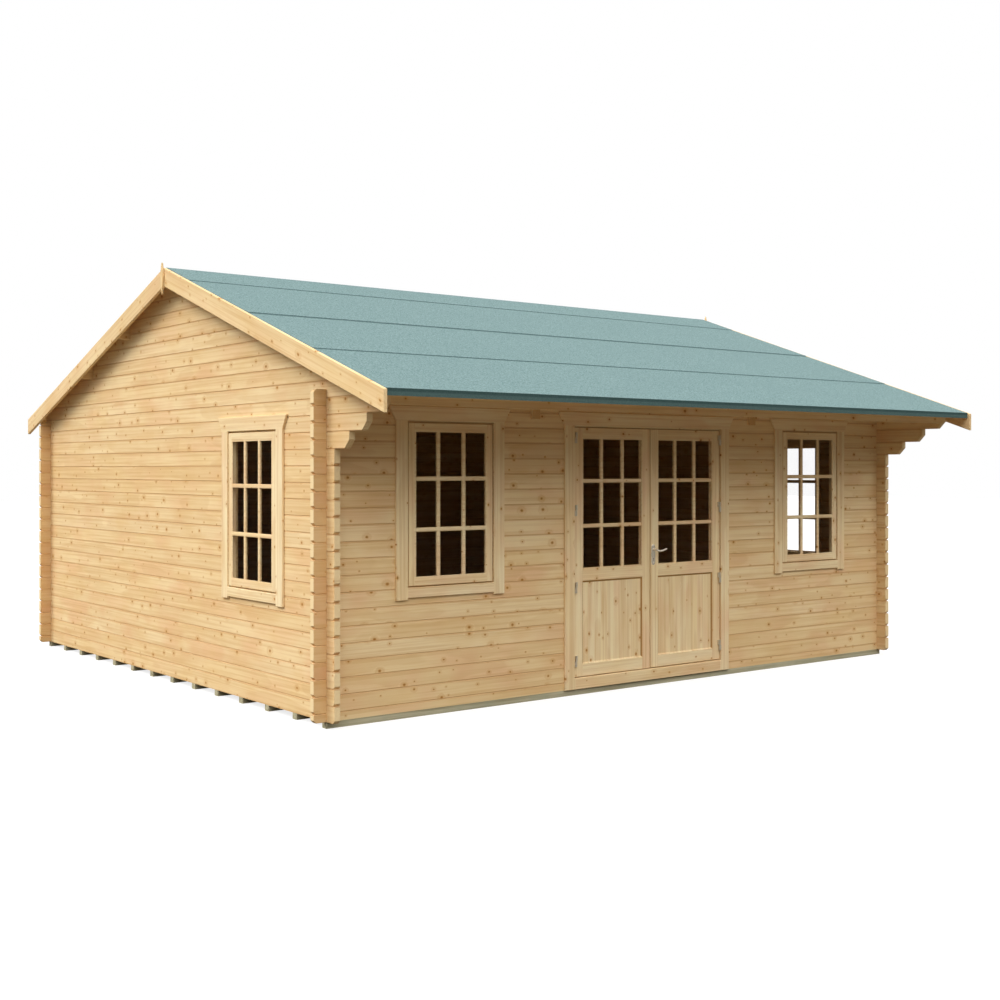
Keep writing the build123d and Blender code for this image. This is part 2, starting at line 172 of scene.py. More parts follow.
# Sizes are in metres; every share says how much of its colour is laid over the colours before it.
pineLook = {
    "pale": "#F9E1B4", "warm": "#EECC92", "rosy": "#F0C699", "late": "#CFA062", "contrast": 0.45,
    "cloudShare": 0.5, "ringShare": 0.18, "streakShare": 0.36, "fibreShare": 0.12,
    "knot": "#93602F", "knotEdge": "#CE9248", "coreShare": 0.7, "edgeShare": 0.7, "haloShare": 0.26,
    "endGrain": "#F6DEB0", "endShare": 0.7,
    # Painted shade along the joints (seam), and painted light inside the groove (groove).
    "seam": "#B87A38", "jointShadeShare": 0.6, "groove": "#F6DEB0", "grooveLightShare": 0.4,
    # Painted shade for the room's inner faces.
    "inside": "#8E6238", "roomShadeShare": 0.25,
    "ringSpacing": 0.0046, "wander": 0.012, "streakScale": 52.0, "fibreScale": 420.0,
    "pithAside": 0.09, "pithBelow": 0.035, "pithRange": 0.05, "knotPush": 0.005,
    "knotSpacing": 0.2, "knotShare": 0.7, "smallestKnot": 0.004, "largestKnot": 0.014,
    "roughness": 0.6, "specular": 0.12, "relief": 0.35, "reliefDepth": 0.0006,
}
# The room's inner faces get painted shade: a darker tone laid over them, and fainter knots.
room = {"halfLong": 2.944, "front": -2.312, "back": 2.942, "edgeLess": 0.5, "coreLess": 0.6}


def boards(across, width, start=0.0):
    # The number of the board at a place, and the distance from the middle of that board.
    scaled = (across - start) / width
    number = scaled.floor()
    return number, (scaled - number - 0.5) * width


def knots(shader, look, along, across, depth, chance, second):
    # One knot at most in each cell of a stretched pattern: its edge, its middle and the grain round it.
    # Distance: the root of 0.6 x along squared + across squared, made uneven by noise.
    cell, cellAcross = look["knotSpacing"], look["knotSpacing"] * 0.5
    spot = shader.vector(along / cell + chance * 37.0, across / cellAcross + second * 19.0)
    cells = shader.node("ShaderNodeTexVoronoi", {"voronoi_dimensions": "2D"}, {"Vector": spot, "Scale": 1.0})
    centre = cells.sibling("Position")
    away = shader.node("ShaderNodeVectorMath", {"operation": "SUBTRACT"}, {0: spot, 1: centre})
    awayAlong = shader.node("ShaderNodeSeparateXYZ", sockets={0: away})
    awayAcross = awayAlong.sibling("Y") * cellAcross
    awayAlong = awayAlong * cell
    sizes = shader.node("ShaderNodeSeparateColor", sockets={0: cells.sibling("Color")})
    wobble = shader.noise(shader.vector(along, across, depth), scale=90.0, detail=2.0)
    distance = (awayAlong * awayAlong * 0.6 + awayAcross * awayAcross).maths("SQRT")
    distance = distance * (wobble * 0.7 + 0.65)
    size = sizes * sizes * (look["largestKnot"] - look["smallestKnot"]) + look["smallestKnot"]
    isKnot = sizes.sibling("Green") < look["knotShare"]
    edge = distance.smooth(size, size * 0.7) * isKnot
    core = distance.smooth(size * 0.8, size * 0.15) * isKnot
    around = distance.smooth(size * 3.4, size * 0.8) * isKnot
    return edge, core, around


def pine(name, layout, grainAxis=None, seam=None, **changes):
    # Solid pine. layout gives the way along the grain, across the board, into it, and the board's number.
    # Rings are circles round a pith line near each board, pushed about by noise and round the knots.
    look = {**pineLook, **changes}
    shader = newShader(name)
    x, y, z = shader.place()
    along, across, depth, number = layout(x, y, z)
    chance = shader.node("ShaderNodeTexWhiteNoise", {"noise_dimensions": "1D"}, {"W": number + 0.37})
    chances = shader.node("ShaderNodeSeparateColor", sockets={0: chance.sibling("Color")})
    second, third = chances.sibling("Green"), chances.sibling("Blue")
    edge, core, around = knots(shader, look, along, across, depth, chance, second)
    within = (abs(x) < room["halfLong"]) * (y > room["front"]) * (y < room["back"])

    slow = shader.noise(shader.vector(along * 0.9, across * 4.0, number * 7.3), detail=2.0)
    pithAcross = across - (second - 0.5) * look["pithAside"]
    pithDepth = depth - (third * look["pithRange"] + look["pithBelow"])
    radius = (pithAcross * pithAcross + pithDepth * pithDepth).maths("SQRT")
    radius = radius + slow * look["wander"] + around * look["knotPush"]
    ring = (radius / look["ringSpacing"]).maths("FRACT")
    late = ring.smooth(0.2, 0.85) * ring.smooth(1.0, 0.93)
    fine, broad = look["fibreScale"], look["streakScale"]
    fibre = shader.noise(shader.vector(along * 12.0, across * fine, depth * fine), detail=2.0)
    streakPlace = shader.vector(along * 0.9 + chance * 9.0, across * broad, depth * broad)
    streak = shader.noise(streakPlace, detail=3.0)
    cloud = shader.noise(shader.vector(along * 2.2, across * 5.0 + number * 3.1, depth), detail=3.0)
    blush = shader.noise(shader.vector(along * 1.7 + number * 5.3, across * 3.0, number * 2.9), detail=2.0)

    tone = shader.mix(chance * look["contrast"], colour(look["pale"]), colour(look["warm"]))
    tone = shader.mix(blush.smooth(0.42, 0.68) * (second * 0.5 + 0.35), tone, colour(look["rosy"]))
    tone = shader.mix(cloud.smooth(0.42, 0.72) * look["cloudShare"], tone, colour(look["warm"]))
    tone = shader.mix(late * look["ringShare"], tone, colour(look["late"]))
    tone = shader.mix(streak.smooth(0.38, 0.7) * look["streakShare"], tone, colour(look["late"]))
    tone = shader.mix(fibre.smooth(0.5, 0.8) * look["fibreShare"], tone, colour(look["late"]))
    tone = shader.mix(around * look["haloShare"], tone, colour(look["knotEdge"]))
    # Inside the room the knots are painted fainter, as part of the room's painted shade.
    tone = shader.mix(edge * (look["edgeShare"] - within * room["edgeLess"]), tone, colour(look["knotEdge"]))
    tone = shader.mix(core * (look["coreShare"] - within * room["coreLess"]), tone, colour(look["knot"]))
    if grainAxis:
        normal = shader.node("ShaderNodeTexCoord", output="Normal")
        facing = shader.node("ShaderNodeSeparateXYZ", sockets={0: normal})
        endFace = abs(facing.sibling(grainAxis)).smooth(0.75, 0.85)
        tone = shader.mix(endFace * look["endShare"], tone, colour(look["endGrain"]))
    height = late * 0.5 + fibre * 0.6 - edge * 0.4
    if seam:
        away = seam(x, y, z)
        # Painted shade along each joint: a warm brown band. Then a pale colour in the groove itself, painted
        # light that lifts the groove's own shade.
        tone = shader.mix(away.smooth(0.0075, 0.0035) * look["jointShadeShare"], tone, colour(look["seam"]))
        tone = shader.mix(away.smooth(0.004, 0.003) * look["grooveLightShare"], tone, colour(look["groove"]))
        # Painted shade over the room's inner faces.
        tone = shader.mix(within * look["roomShadeShare"], tone, colour(look["inside"]))
    roughness = look["roughness"] - late * 0.08 - edge * 0.1 + fibre * 0.06
    relief = shader.bump(height, look["relief"], look["reliefDepth"])
    return shader.finish(Base_Color=tone, Roughness=roughness, Normal=relief,
                         Specular_IOR_Level=look["specular"])


# The long walls start with half a log, so their joints are staggered against the gable walls.
logs = {"height": 0.114, "foot": 0.045, "firstLongJoint": 0.057, "gableSeed": 60.0, "sideStep": 31.0}


def logLayout(alongAxis, firstJoint):
    # Level logs; the numbers of the two gable walls' logs are set apart by side.
    def layout(x, y, z):
        number, across = boards(z, logs["height"], logs["foot"] + firstJoint)
        if alongAxis == "X":
            return x, across, y, number
        return y, across, x, number + (x > 0.0) * logs["sideStep"] + logs["gableSeed"]
    return layout


def logJoint(firstJoint):
    # Distance up or down from the nearest joint between logs.
    def distance(x, y, z):
        number, across = boards(z, logs["height"], logs["foot"] + firstJoint)
        return logs["height"] / 2 - abs(across)
    return distance


boarding = {"roof": 0.095, "floor": 0.12}


def boardLayout(width, seed):
    # Roof and floor boards lie side by side along X and run from front to back.
    def layout(x, y, z):
        number, across = boards(x, width)
        return y, across, z, number + seed
    return layout


def boardJoint(width):
    # Distance sideways from the nearest joint between boards.
    def distance(x, y, z):
        number, across = boards(x, width)
        return width / 2 - abs(across)
    return distance


def beamLayout(alongAxis, seed):
    # Single timbers: the number changes with the place across, so neighbours differ.
    height, halfDepth, spacing = 2.3, 0.04, 0.4

    def layout(x, y, z):
        side, along = (y, x) if alongAxis == "X" else (x, y)
        return along, z - height, side.maths("PINGPONG", halfDepth), (side / spacing).floor() + seed
    return layout


def joineryLayout(sideAxis, middle, half, top=99.0, panel=None, seed=0.0):
    # Upright grain beyond half to each side, up to top, and in a panel's staves; level grain in the rails.
    # Heights of the bottom rail's middle and of the places where the middle and the top rails start.
    bottomRail, middleRail, topRail, halfStile = 0.185, 0.5, 1.5, 0.045

    def layout(x, y, z):
        side, depth = (x, y) if sideAxis == "X" else (y, x)
        offset = abs(side - middle)
        upright = (offset > half) * (z < top)
        across = (z - bottomRail).towards(offset - half - halfStile, upright)
        stileNumber = (side > middle) * 3.0 + 2.0
        railNumber = (z > middleRail) * 5.0 + (z > topRail) * 7.0
        number = upright * stileNumber + (1.0 - upright) * railNumber
        if panel:
            low, high, stave = panel
            inside = (offset < half) * (z > low) * (z < high)
            staveNumber, staveAcross = boards(side, stave, middle - half)
            upright = upright + inside
            across = across.towards(staveAcross, inside)
            number = number.towards(staveNumber * 7.0 + 90.0, inside)
        return side.towards(z, upright), across, depth, number + seed
    return layout


def feltMaterial():
    # Mineral chips over slow stains, with painted shadow below each lap and painted shade on the turned-down
    # edge.
    # Each lap is a distance from the ridge and the width of the painted shadow below it.
    look = {"dark": "#506E70", "light": "#87A0A2", "stain": "#6A8486", "lap": "#3A5456", "foldShade": "#2C4544",
            "edge": "#506A68", "laps": {0.42: 0.02, 1.402: 0.042, 2.342: 0.024},
            "eave": 3.2225, "foldAt": 2.219, "chipScale": 170.0, "coarseScale": 84.0,
            "chipShare": 0.35, "coarseShare": 0.6, "stainShare": 0.25, "lapShadowShare": 0.8, "edgeShare": 0.85,
            "relief": 0.7, "reliefDepth": 0.0018, "roughness": 0.92, "specular": 0.2}
    shader = newShader("mineralFelt")
    x, y, z = shader.place()
    place = shader.vector(x, y, z)
    chips = shader.node("ShaderNodeTexVoronoi", sockets={"Vector": place, "Scale": look["chipScale"]})
    chipTone = shader.node("ShaderNodeSeparateColor", sockets={0: chips.sibling("Color")})
    coarse = shader.noise(place, scale=look["coarseScale"], detail=2.0, roughness=0.7)
    stains = shader.noise(shader.vector(x * 0.8, y * 2.2, z), scale=1.3, detail=4.0)
    share = chipTone * look["chipShare"] + coarse.smooth(0.34, 0.64) * look["coarseShare"]
    tone = shader.mix(share, colour(look["dark"]), colour(look["light"]))
    tone = shader.mix(stains.smooth(0.35, 0.8) * look["stainShare"], tone, colour(look["stain"]))
    away = abs(y)
    # Painted shadow below each lap: darkest just below the lap, fading over its width.
    for lap, width in look["laps"].items():
        lapShadow = (away > lap) * away.smooth(lap + width, lap + width * 0.6)
        tone = shader.mix(lapShadow * look["lapShadowShare"], tone, colour(look["lap"]))
    # The turned-down edge gets painted shade: darker than the roof, darkest in its upper part near the fold
    # and in noisy patches.
    upper = z.smooth(look["foldAt"] - 0.01, look["foldAt"])
    edgeShade = shader.mix(upper, colour(look["edge"]), colour(look["foldShade"]))
    edgeShade = shader.mix(coarse.smooth(0.35, 0.6) * look["coarseShare"], edgeShade, colour(look["foldShade"]))
    turned = away.smooth(look["eave"] - 0.002, look["eave"] + 0.001)
    tone = shader.mix(turned * look["edgeShare"], tone, edgeShade)
    normal = shader.bump(chips + coarse * 1.5, look["relief"], look["reliefDepth"])
    return shader.finish(Base_Color=tone, Roughness=look["roughness"], Normal=normal,
                         Specular_IOR_Level=look["specular"])


def treatedMaterial():
    # Green-grey pressure treated timber with saw marks.
    look = {"pale": "#C6BFA2", "dark": "#9A9274", "green": "#ABAA90", "greenShare": 0.5,
            "relief": 0.6, "reliefDepth": 0.001, "roughness": 0.85, "specular": 0.2}
    shader = newShader("treatedTimber")
    x, y, z = shader.place()
    grain = shader.noise(shader.vector(x * 1.5, y * 60.0, z * 60.0), detail=4.0)
    patches = shader.noise(shader.vector(x * 3.0, y, z), scale=1.5, detail=2.0)
    saw = shader.noise(shader.vector(x * 240.0, y * 3.0, z * 3.0), detail=1.0)
    tone = shader.mix(grain.smooth(0.3, 0.75), colour(look["pale"]), colour(look["dark"]))
    tone = shader.mix(patches.smooth(0.4, 0.7) * look["greenShare"], tone, colour(look["green"]))
    normal = shader.bump(grain + saw * 0.4, look["relief"], look["reliefDepth"])
    return shader.finish(Base_Color=tone, Roughness=look["roughness"], Normal=normal,
                         Specular_IOR_Level=look["specular"])


def metalMaterial(name, tint, roughness):
    # Plated metal with faint brushing and darker handling marks.
    look = {"mark": "#8C867A", "markShare": 0.3, "metallic": 0.6, "relief": 0.15, "reliefDepth": 0.0002}
    shader = newShader(name)
    x, y, z = shader.place()
    brushed = shader.noise(shader.vector(x * 60.0, y * 60.0, z * 900.0), detail=2.0)
    marks = shader.noise(shader.vector(x, y, z), scale=70.0, detail=4.0)
    handled = marks.smooth(0.45, 0.8)
    tone = shader.mix(handled * look["markShare"], colour(tint), colour(look["mark"]))
    rough = roughness + brushed * 0.1 + handled * 0.12
    normal = shader.bump(brushed, look["relief"], look["reliefDepth"])
    return shader.finish(Base_Color=tone, Metallic=look["metallic"], Roughness=rough, Normal=normal)


def glassMaterial():
    # Clear pane: nearly all see-through, with a little dust that dulls it in patches.
    look = {"tint": "#4A4F4C", "roughness": 0.02, "alpha": 0.012, "bending": 1.5, "specular": 0.3}
    shader = newShader("windowPane")
    x, y, z = shader.place()
    dust = shader.noise(shader.vector(x, y, z), scale=4.0, detail=5.0, roughness=0.7)
    return shader.finish(Base_Color=colour(look["tint"]),
                         Roughness=dust.smooth(0.5, 0.9) * 0.08 + look["roughness"],
                         Alpha=dust.smooth(0.4, 0.9) * 0.02 + look["alpha"],
                         IOR=look["bending"], Specular_IOR_Level=look["specular"])


def coat(material, *nodes):
    # Gives CAD nodes that stay as they are their material.
    for node in nodes:
        mesh = frame["nodes"][node].data
        mesh.materials.clear()
        mesh.materials.append(material)


longLogs = logLayout("X", logs["firstLongJoint"])
longJoints = logJoint(logs["firstLongJoint"])
longTimber = pine("longLogTimber", longLogs, "X", longJoints)
gableTimber = pine("gableLogTimber", logLayout("Y", 0.0), "Y", logJoint(0.0))
crossTimber = pine("purlinTimber", beamLayout("X", seed=200.0), "X")
tieTimber = pine("tieBeamTimber", beamLayout("Y", seed=300.0), "Y", endGrain="#D0A56A", endShare=0.8)
endTimber = pine("logEndTimber", longLogs, "X", longJoints,
                 pale="#EBCD9C", warm="#DDB580", rosy="#DFAE84", endShare=0.95)
roofWidth, floorWidth = boarding["roof"], boarding["floor"]
roofTimber = pine("roofBoardTimber", boardLayout(roofWidth, seed=400.0), "Y", boardJoint(roofWidth))
floorTimber = pine("floorBoardTimber", boardLayout(floorWidth, seed=500.0), "Y", boardJoint(floorWidth))
felt = feltMaterial()
pane = glassMaterial()
zinc = metalMaterial("zincPlate", "#E2D8C4", roughness=0.36)
satin = metalMaterial("satinChrome", "#FBF4E6", roughness=0.14)

coat(endTimber, "front_log_ends", "back_log_ends")
coat(longTimber, "front_wall_left", "front_wall_right", "front_wall_over_door", "back_wall")
coat(gableTimber, "left_gable_wall", "right_gable_wall")
coat(crossTimber, "ridge_purlin", "canopy_beam", "eaves_battens", "window_frames")
coat(roofTimber, "roof_boards_front", "roof_boards_back")
coat(floorTimber, "floor_boards")
coat(treatedMaterial(), "floor_bearers")
coat(felt, "roof_felt_front", "roof_felt_back", "ridge_felt")
coat(pane, "window_glass", "left_door_glass", "right_door_glass")
coat(zinc, "left_door_hinges", "right_door_hinges", "jamb_hinges")
print("materials made")


def gridFaces(rows, columns, loopRows=False, loopColumns=False):
    # Quads between neighbouring points of a grid that is numbered row by row.
    row = np.arange(rows if loopRows else rows - 1)
    column = np.arange(columns if loopColumns else columns - 1)
    r, c = np.meshgrid(row, column, indexing="ij")
    nextRow, nextColumn = (r + 1) % rows, (c + 1) % columns
    corners = [r * columns + c, r * columns + nextColumn,
               nextRow * columns + nextColumn, nextRow * columns + c]
    return np.stack(corners, -1).reshape(-1, 4)


def joined(parts):
    # One mesh from several: each part's faces are counted on from the points before it.
    points, faces, start = [], [], 0
    for partPoints, partFaces in parts:
        points.append(partPoints)
        faces += [[start + i for i in face] for face in partFaces]
        start += len(partPoints)
    return np.concatenate(points), faces


def addPiece(name, shape, body, material, smooth=False):
    # A new piece from points and faces, with its faces turned outwards.
    points, faces = shape
    mesh = bpy.data.meshes.new(name)
    mesh.from_pydata(np.asarray(points, float).tolist(), [], [list(map(int, face)) for face in faces])
    work = bmesh.new()
    work.from_mesh(mesh)
    bmesh.ops.recalc_face_normals(work, faces=work.faces)
    work.to_mesh(mesh)
    work.free()
    mesh.polygons.foreach_set("use_smooth", [smooth] * len(mesh.polygons))
    mesh.materials.append(material)
    piece = bpy.data.objects.new(name, mesh)
    bpy.context.scene.collection.objects.link(piece)
    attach(piece, body)
    return piece


def softened(node, material, width=0.0025, segments=2):
    # A merged copy of the solid with its sharp edges eased.
    mergeReach, flatAngle, sharpAngle = 0.00001, math.radians(1), math.radians(35)
    mesh = frame["nodes"][node].data.copy()
    mesh.name = node + "_eased"
    work = bmesh.new()
    work.from_mesh(mesh)
    bmesh.ops.remove_doubles(work, verts=work.verts, dist=mergeReach)
    bmesh.ops.dissolve_limit(work, angle_limit=flatAngle, verts=work.verts, edges=work.edges)
    bmesh.ops.recalc_face_normals(work, faces=work.faces)
    work.to_mesh(mesh)
    work.free()
    mesh.materials.clear()
    mesh.materials.append(material)
    piece = bpy.data.objects.new(node + "_eased", mesh)
    bpy.context.scene.collection.objects.link(piece)
    ease = piece.modifiers.new("ease", "BEVEL")
    ease.width, ease.segments, ease.limit_method = width, segments, "ANGLE"
    ease.angle_limit = sharpAngle
    ease.harden_normals = True
    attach(piece, bodyOf[node])
    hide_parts(node)
    return piece


def opening(node):
    # A flat node's own axes: its thin way points out of the cabin, level and upright ways lie in it.
    low, high = cornersOf(node)
    middle, size = (low + high) / 2, high - low
    thin = int(np.argmin(size[:2]))
    out = np.zeros(3)
    out[thin] = np.sign(middle[thin])
    side = np.zeros(3)
    side[1 - thin] = 1.0
    return {"face": middle + out * size[thin] / 2, "out": out, "side": side,
            "up": np.array([0.0, 0.0, 1.0]), "middle": float(middle[1 - thin]),
            "halfWide": size[1 - thin] / 2, "halfHigh": size[2] / 2, "thick": size[thin]}


def straightBar(profile, start, end, sideWay, depthWay):
    # Each end of a straight bar is: the end's place + side x first number + depth x second number.
    profile = np.asarray(profile, float)
    ring = profile[:, :1] * sideWay + profile[:, 1:] * depthWay
    count = len(profile)
    faces = gridFaces(2, count, loopColumns=True).tolist()
    faces += [list(range(count)), list(range(count, 2 * count))]
    return np.concatenate([start + ring, end + ring]), faces


def rectangleRing(place, middleUp, halfWide, halfHigh, profile):
    # Mitred frame: at each corner the profile's first number is taken inwards along both sides,
    # and its second number is the distance out from the face.
    profile = np.asarray(profile, float)
    signs = np.array([(-1, -1), (1, -1), (1, 1), (-1, 1)], float)
    across = signs[:, :1] * (halfWide - profile[:, 0])
    upwards = signs[:, 1:] * (halfHigh - profile[:, 0]) + middleUp
    points = (place["face"] + across[..., None] * place["side"] + upwards[..., None] * place["up"]
              + profile[:, 1][None, :, None] * place["out"])
    return points.reshape(-1, 3), gridFaces(4, len(profile), True, True).tolist()


def bothFaces(place, profile):
    # The same profile on the outer face and, mirrored, on the inner one.
    return profile, [(inwards, -place["thick"] - out) for inwards, out in profile]


glazing = {"barWidth": 0.031, "squareness": 0.55, "columns": 3, "rows": 3, "letIn": 0.004, "overlap": 0.002}
# A window's bars and broad bead lie near the outer face, a door's in the middle of the leaf.
glazed = {
    "window": {"bead": 0.014, "insideBead": 0.0, "beadDepth": 0.003, "barFront": 0.001, "barDepth": 0.02},
    "door": {"bead": 0.009, "insideBead": 0.009, "beadDepth": 0.012, "barFront": 0.007, "barDepth": 0.024},
}


def barProfile(front, depth):
    # Rounded bar: half sizes x |cosine| and |sine| of the angle, each to a power under one.
    angle = np.radians(np.arange(0, 360, 15))
    cosine, sine = np.cos(angle), np.sin(angle)
    power = glazing["squareness"]
    side = glazing["barWidth"] / 2 * np.sign(cosine) * np.abs(cosine) ** power
    out = depth / 2 * (np.sign(sine) * np.abs(sine) ** power - 1) - front
    return np.stack([side, out], axis=1)


def glazingBars(name, node, middleUp, halfWide, halfHigh, material, sizes):
    # Bars across the glass at even steps, with both ends let into the sash, and a bead round the glass.
    place = opening(node)
    profile = barProfile(sizes["barFront"], sizes["barDepth"])
    width = glazing["barWidth"]
    centre = place["face"] + middleUp * place["up"]
    parts = []
    for count, half, reach, sideWay, endWay in (
            (glazing["columns"], halfWide, halfHigh, place["side"], place["up"]),
            (glazing["rows"], halfHigh, halfWide, place["up"], place["side"])):
        clear = (2 * half - (count - 1) * width) / count
        for index in range(1, count):
            middle = centre + (-half + index * (clear + width) - width / 2) * sideWay
            reachOut = (reach + glazing["letIn"]) * endWay
            parts.append(straightBar(profile, middle - reachOut, middle + reachOut, sideWay, place["out"]))
    depth, overlap = sizes["beadDepth"], glazing["overlap"]
    for inside, bead in enumerate((sizes["bead"], sizes["insideBead"])):
        if bead:
            section = [(-overlap, -0.001), (bead * 0.75, -0.0015), (bead, -depth * 0.7),
                       (bead, -depth), (-overlap, -depth)]
            section = bothFaces(place, section)[inside]
            parts.append(rectangleRing(place, middleUp, halfWide, halfHigh, section))
    return addPiece(name, joined(parts), bodyOf[node], material)


joinery = {"sashStile": 0.05, "trimGap": 0.0085, "trimTopGap": 0.013, "frameLap": 0.01, "ease": 0.004,
           "frameEase": 0.002, "stave": 0.066, "panel": (0.231, 0.872), "mouldWidth": 0.012,
           "mouldDrop": 0.0105, "mouldBack": 0.002, "bevelGap": 0.004}
# Planed joinery is a shade paler than the logs.
planed = {"pale": "#FFEDC5", "warm": "#F5D8A2", "rosy": "#F5CFA6", "knotShare": 0.5, "largestKnot": 0.0125}
# The moulding round a door's panel is painted darker than the door, as painted shade for the shadow line
# round the panel.
mouldShadeLook = {"pale": "#B98C54", "warm": "#AC7E48", "rosy": "#B0824E", "knotShare": 0.0}

windows = ("front_left_window", "front_right_window", "left_side_window", "right_side_window")
for seed, node in enumerate(windows):
    place = opening(node)
    axis = "X" if node.startswith("front") else "Y"
    halfGlass = place["halfWide"] - joinery["sashStile"]
    sashLayout = joineryLayout(axis, place["middle"], halfGlass, seed=seed * 13.0)
    sashTimber = pine(node + "_timber", sashLayout, **planed)
    softened(node, sashTimber, joinery["ease"], segments=3)
    glassHeight = place["halfHigh"] - joinery["sashStile"]
    glazingBars(node + "_bars", node, 0.0, halfGlass, glassHeight, sashTimber, glazed["window"])
    trimTop = float(cornersOf(node)[1][2]) + joinery["trimTopGap"]
    trimHalf = place["halfWide"] + joinery["trimGap"]
    trimLayout = joineryLayout(axis, place["middle"], trimHalf, trimTop, seed=seed * 13.0 + 6.0)
    softened(node + "_trim", pine(node + "_trim_timber", trimLayout, **planed), joinery["ease"])
print("windows made")

panelLow, panelHigh = joinery["panel"]
halfPanel, panelMiddle = (panelHigh - panelLow) / 2, (panelLow + panelHigh) / 2
for seed, node in enumerate(("left_door", "right_door")):
    place = opening(node)
    glassLow, glassHigh = cornersOf(node + "_glass")
    bodyLow, bodyHigh = cornersOf(node)
    bodyMiddle = float(bodyLow[2] + bodyHigh[2]) / 2
    glassMiddle = float(glassLow[2] + glassHigh[2]) / 2
    halfGlass = float(glassHigh[0] - glassLow[0]) / 2
    halfHigh = float(glassHigh[2] - glassLow[2]) / 2
    staves = (panelLow, panelHigh, joinery["stave"])
    doorLayout = joineryLayout("X", place["middle"], halfGlass, panel=staves, seed=seed * 17.0 + 140.0)
    doorTimber = pine(node + "_timber", doorLayout, **planed)
    softened(node, doorTimber, joinery["ease"])
    middleUp = glassMiddle - bodyMiddle
    glazingBars(node + "_bars", node, middleUp, halfGlass, halfHigh, doorTimber, glazed["door"])
    wide, drop = joinery["mouldWidth"], joinery["mouldDrop"]
    back = drop + joinery["mouldBack"]
    mould = [(-0.001, -0.003), (wide * 0.3, -0.005), (wide, -drop), (wide, -back), (-0.001, -back)]
    rings = [rectangleRing(place, panelMiddle - bodyMiddle, halfGlass, halfPanel, side)
             for side in bothFaces(place, mould)]
    # The moulding's darker timber is painted shade.
    shadedMouldTimber = pine(node + "_shaded_mould_timber", doorLayout, **mouldShadeLook)
    addPiece(node + "_panel_mould", joined(rings), bodyOf[node], shadedMouldTimber)
    # The bottom rail's upper edge is bevelled over the moulding, to shed water.
    bevel = [(-0.001, -0.0005), (0.003, -0.001), (wide + 0.001, -drop), (-0.001, -drop)]
    railEdge = place["face"] + (panelLow - bodyMiddle) * place["up"]
    reachOut = (halfGlass - joinery["bevelGap"]) * place["side"]
    bevels = [straightBar(side, railEdge - reachOut, railEdge + reachOut, place["up"], place["out"])
              for side in bothFaces(place, bevel)]
    addPiece(node + "_rail_bevel", joined(bevels), bodyOf[node], doorTimber)

frameHalf = float(cornersOf("right_door")[1][0])
frameTop = float(cornersOf("right_door")[1][2])
trimLayout = joineryLayout("X", 0.0, frameHalf, frameTop + joinery["trimTopGap"], seed=170.0)
doorTrimTimber = pine("doorTrimTimber", trimLayout, **planed)
frameLayout = joineryLayout("X", 0.0, frameHalf - joinery["frameLap"], frameTop, seed=180.0)
doorFrameTimber = pine("doorFrameTimber", frameLayout, **planed)
softened("door_trim", doorTrimTimber, joinery["ease"], segments=3)
softened("door_frame", doorFrameTimber, joinery["frameEase"])
softened("door_sill", doorFrameTimber, joinery["ease"])
print("doors made")

roofLine = {"ridge": 3.347, "slope": 0.345, "middle": 0.075, "ease": 0.006, "logEase": 0.002,
            "bargeSeed": 700.0, "finialSeed": 800.0}


def bargeLayout(x, y, z):
    # Grain up the slope; the way across is measured from the middle of the board's depth.
    across = z + abs(y) * roofLine["slope"] - roofLine["ridge"] + roofLine["middle"]
    return y, across, x, (x > 0.0) * 3.0 + (y > 0.0) + roofLine["bargeSeed"]


def finialLayout(x, y, z):
    # Upright grain, one number for each gable.
    return z, y, x, (x > 0.0) * 3.0 + roofLine["finialSeed"]


bargeTimber = pine("bargeboardTimber", bargeLayout, knotShare=0.8)
for node in ("front_bargeboards", "back_bargeboards"):
    softened(node, bargeTimber, roofLine["ease"], segments=3)
softened("finials", pine("finialTimber", finialLayout, knotShare=0.2), joinery["ease"])
softened("front_log_ends", endTimber, roofLine["logEase"])
softened("back_log_ends", endTimber, roofLine["logEase"])
softened("tie_beams", tieTimber, joinery["ease"])
softened("roof_purlins", crossTimber, joinery["ease"])
print("roof timber made")

plateSizes = {"waist": 0.06, "crown": 0.0036, "rows": 61, "columns": 17}


def plateShape():
    # Plate: half width x (1 - waist x (1 - cosine of three turns up it) / 2), rounded off at both ends;
    # its face rises by the crown x (1 - side to the fourth) x (1 - up to the eighth).
    low, high = cornersOf("door_handle_plate")
    half, middle = (high - low) / 2, (high + low) / 2
    rows, columns = plateSizes["rows"], plateSizes["columns"]
    up = np.sin(np.linspace(-math.pi / 2, math.pi / 2, rows))[:, None]
    side = np.linspace(-1, 1, columns)[None, :]
    waisted = 1 - plateSizes["waist"] * (1 - np.cos(3 * math.pi * up)) / 2
    width = half[0] * waisted * np.sqrt(1 - up ** 6 * 0.999)
    face = high[1] - plateSizes["crown"] * (1 - side ** 4) * (1 - up ** 8)
    x = middle[0] + side * width
    z = middle[2] + up * half[2] + side * 0
    points = np.stack([x, face + up * 0, z], -1).reshape(-1, 3)
    return points, gridFaces(rows, columns).tolist()


# The lever's straight, outBy and roundFrom are shares of the way along it; flat is its depth over its height.
leverSizes = {"neck": 0.009, "tip": 0.0075, "flat": 0.62, "sag": 0.011, "lift": 0.006, "margin": 0.008,
              "straight": 0.14, "outBy": 0.36, "bend": 0.9, "roundFrom": 0.94, "roundOver": 0.065,
              "rings": 36, "sides": 20}


